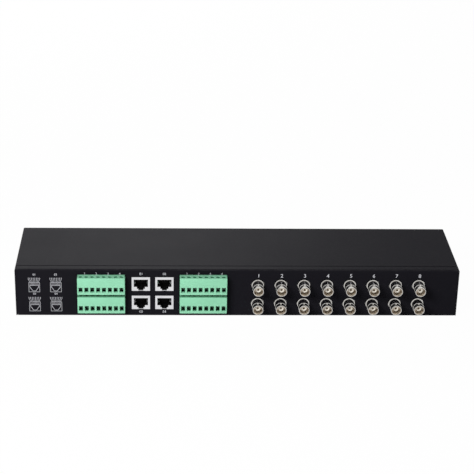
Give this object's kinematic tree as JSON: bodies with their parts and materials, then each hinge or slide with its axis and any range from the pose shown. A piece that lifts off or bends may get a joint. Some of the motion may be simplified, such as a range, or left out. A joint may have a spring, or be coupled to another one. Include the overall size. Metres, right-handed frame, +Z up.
{
  "type": "video balun",
  "caption": "Rack-height steel case that turns rows of coaxial video jacks into twisted pair screw terminals and network jacks, with plug-in terminal blocks.",
  "frame": {"origin": "middle of the case's footprint, on the surface that it rests on", "axes": "+X along the case, to the right as the connector side is seen; +Y from the connector side to the plain front; +Z up"},
  "size_m": [0.39, 0.1025, 0.0452],
  "materials": {
    "black_paint": "fine matte powder coat",
    "black_screw": "blackened steel",
    "steel": "zinc plated",
    "tin": "bright tin",
    "nickel": "bright nickel",
    "brass": "plain",
    "white_plastic": "satin",
    "green_plastic": "satin",
    "black_plastic": "satin",
    "board": "solder mask",
    "ferrite": "potted"
  },
  "bodies": {
    "case": {"chassis": "black_paint", "top_cover": "black_paint", "cover_screws": "black_screw", "board_standoffs": "steel", "board_spacers": "steel", "board_screws": "steel", "lower_board": "board", "balun_transformers_lower": "ferrite", "video_jack_insulators_lower": "white_plastic", "video_jack_contacts_lower": "brass", "network_jack_contacts_lower": "brass", "video_jack_shell_lower_1": "nickel", "video_jack_shell_lower_2": "nickel", "video_jack_shell_lower_3": "nickel", "video_jack_shell_lower_4": "nickel", "video_jack_shell_lower_5": "nickel", "video_jack_shell_lower_6": "nickel", "video_jack_shell_lower_7": "nickel", "video_jack_shell_lower_8": "nickel", "network_jack_shield_lower_left": "tin", "network_jack_housing_lower_left": "black_plastic", "network_jack_shield_lower_right": "tin", "network_jack_housing_lower_right": "black_plastic", "terminal_header_lower_left": "green_plastic", "header_pins_lower_left": "tin", "terminal_header_lower_right": "green_plastic", "header_pins_lower_right": "tin", "upper_board": "board", "balun_transformers_upper": "ferrite", "video_jack_insulators_upper": "white_plastic", "video_jack_contacts_upper": "brass", "network_jack_contacts_upper": "brass", "video_jack_shell_upper_1": "nickel", "video_jack_shell_upper_2": "nickel", "video_jack_shell_upper_3": "nickel", "video_jack_shell_upper_4": "nickel", "video_jack_shell_upper_5": "nickel", "video_jack_shell_upper_6": "nickel", "video_jack_shell_upper_7": "nickel", "video_jack_shell_upper_8": "nickel", "network_jack_shield_upper_left": "tin", "network_jack_housing_upper_left": "black_plastic", "network_jack_shield_upper_right": "tin", "network_jack_housing_upper_right": "black_plastic", "terminal_header_upper_left": "green_plastic", "header_pins_upper_left": "tin", "terminal_header_upper_right": "green_plastic", "header_pins_upper_right": "tin"},
    "plug_lower_left": {"terminal_plug_lower_left": "green_plastic", "plug_clamps_lower_left": "tin", "plug_screws_lower_left": "steel"},
    "plug_lower_right": {"terminal_plug_lower_right": "green_plastic", "plug_clamps_lower_right": "tin", "plug_screws_lower_right": "steel"},
    "plug_upper_left": {"terminal_plug_upper_left": "green_plastic", "plug_clamps_upper_left": "tin", "plug_screws_upper_left": "steel"},
    "plug_upper_right": {"terminal_plug_upper_right": "green_plastic", "plug_clamps_upper_right": "tin", "plug_screws_upper_right": "steel"}
  },
  "joints": [
    {"name": "pull_plug_lower_left", "type": "slide", "parent": "case", "child": "plug_lower_left", "axis": [0, -1, 0], "range_m": [0, 0.0081]},
    {"name": "pull_plug_lower_right", "type": "slide", "parent": "case", "child": "plug_lower_right", "axis": [0, -1, 0], "range_m": [0, 0.0081]},
    {"name": "pull_plug_upper_left", "type": "slide", "parent": "case", "child": "plug_upper_left", "axis": [0, -1, 0], "range_m": [0, 0.0081]},
    {"name": "pull_plug_upper_right", "type": "slide", "parent": "case", "child": "plug_upper_right", "axis": [0, -1, 0], "range_m": [0, 0.0081]}
  ]
}
